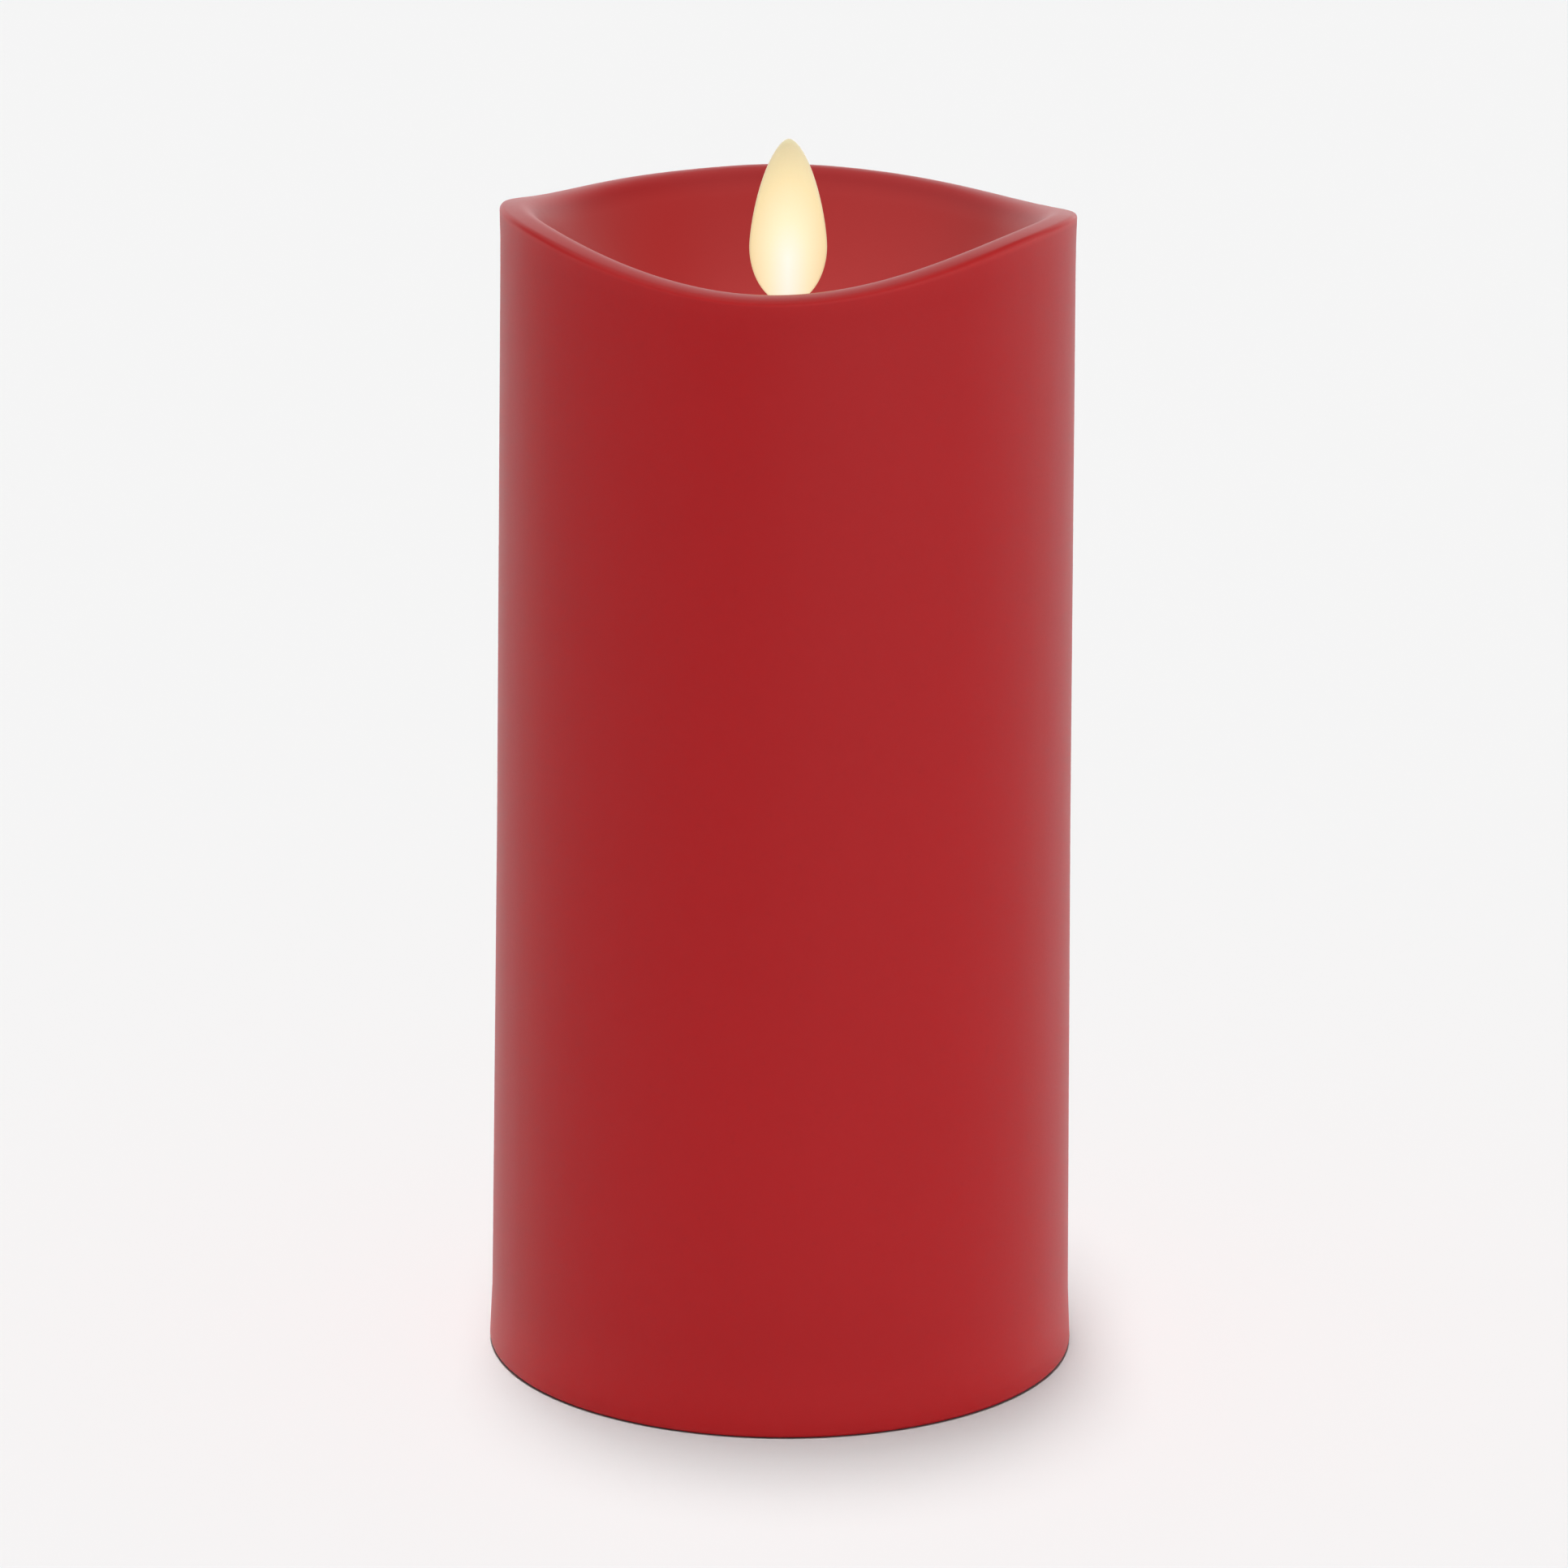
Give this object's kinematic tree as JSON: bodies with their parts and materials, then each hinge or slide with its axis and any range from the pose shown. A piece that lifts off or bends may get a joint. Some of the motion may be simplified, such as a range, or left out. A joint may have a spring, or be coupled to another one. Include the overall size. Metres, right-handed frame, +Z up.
{
  "type": "flameless led candle",
  "caption": "Flameless pillar candle: real-wax shell with a melted wavy rim and a bowl round a swinging plastic flame lit by a small lamp, over a battery base.",
  "frame": {"origin": "centre of the foot, on the plane that the candle stands on", "axes": "+Z up along the candle's axis; -Y is the side that the viewer sees, with the lamp; the flame is flat in XZ"},
  "size_m": [0.0918, 0.0918, 0.192],
  "materials": {
    "wax": "satin, smooth dyed paraffin wax",
    "flame": "translucent frosted warm white, lit from below",
    "white_plastic": "fine moulded texture",
    "black_plastic": "fine moulded texture",
    "steel": "zinc or nickel plated",
    "magnet": "bright nickel plate",
    "copper": "enamelled copper winding",
    "lens": "clear epoxy",
    "board": "green solder mask",
    "component": "moulded black epoxy",
    "capacitor": "shrink sleeve",
    "resistor": "lacquered body",
    "cell": "printed jacket, satin",
    "red_wire": "smooth insulation",
    "black_wire": "smooth insulation",
    "yellow_wire": "smooth insulation"
  },
  "bodies": {
    "candle": {"wax_shell": "wax", "pivot_wire": "steel", "flame_collar": "black_plastic", "led_lamp": "lens", "housing_left": "white_plastic", "housing_right": "white_plastic", "coil_bobbin": "black_plastic", "drive_coil": "copper", "control_board": "board", "timer_chip": "component", "drive_transistor": "component", "smoothing_capacitor": "capacitor", "clock_crystal": "steel", "resistor_1": "resistor", "resistor_2": "resistor", "inner_sleeve": "white_plastic", "base_cap": "black_plastic", "battery_holder": "black_plastic", "battery_cell_left": "cell", "battery_cell_right": "cell", "contact_positive": "steel", "contact_spring": "steel", "switch_case": "steel", "wire_battery_positive": "red_wire", "wire_battery_negative": "black_wire", "wire_switch_feed": "red_wire", "wire_switch_return": "yellow_wire", "wire_coil_start": "copper", "wire_coil_end": "copper", "wire_lamp_positive": "red_wire", "wire_lamp_negative": "black_wire", "housing_screw_1": "steel", "housing_screw_2": "steel", "housing_screw_3": "steel", "housing_screw_4": "steel", "base_screw_1": "steel", "base_screw_2": "steel", "base_screw_3": "steel", "base_screw_4": "steel", "board_screw_1": "steel", "board_screw_2": "steel", "holder_screw_1": "steel", "holder_screw_2": "steel", "switch_screw_1": "steel", "switch_screw_2": "steel"},
    "flame": {"flame_blade": "flame", "flame_magnet": "magnet"},
    "door": {"battery_door": "black_plastic", "door_contact_strip": "steel", "door_contact_spring": "steel"},
    "slider": {"switch_slider": "black_plastic"}
  },
  "joints": [
    {"name": "flame_swing", "type": "hinge", "parent": "candle", "child": "flame", "pos_m": [0, 0, 0.147], "axis": [0, 1, 0], "range_deg": [-9, 9]},
    {"name": "door_open", "type": "hinge", "parent": "candle", "child": "door", "pos_m": [0, 0.017, 0.0027], "axis": [1, 0, 0], "range_deg": [0, 100]},
    {"name": "switch_slide", "type": "slide", "parent": "candle", "child": "slider", "axis": [1, 0, 0], "range_m": [0, 0.004]}
  ]
}
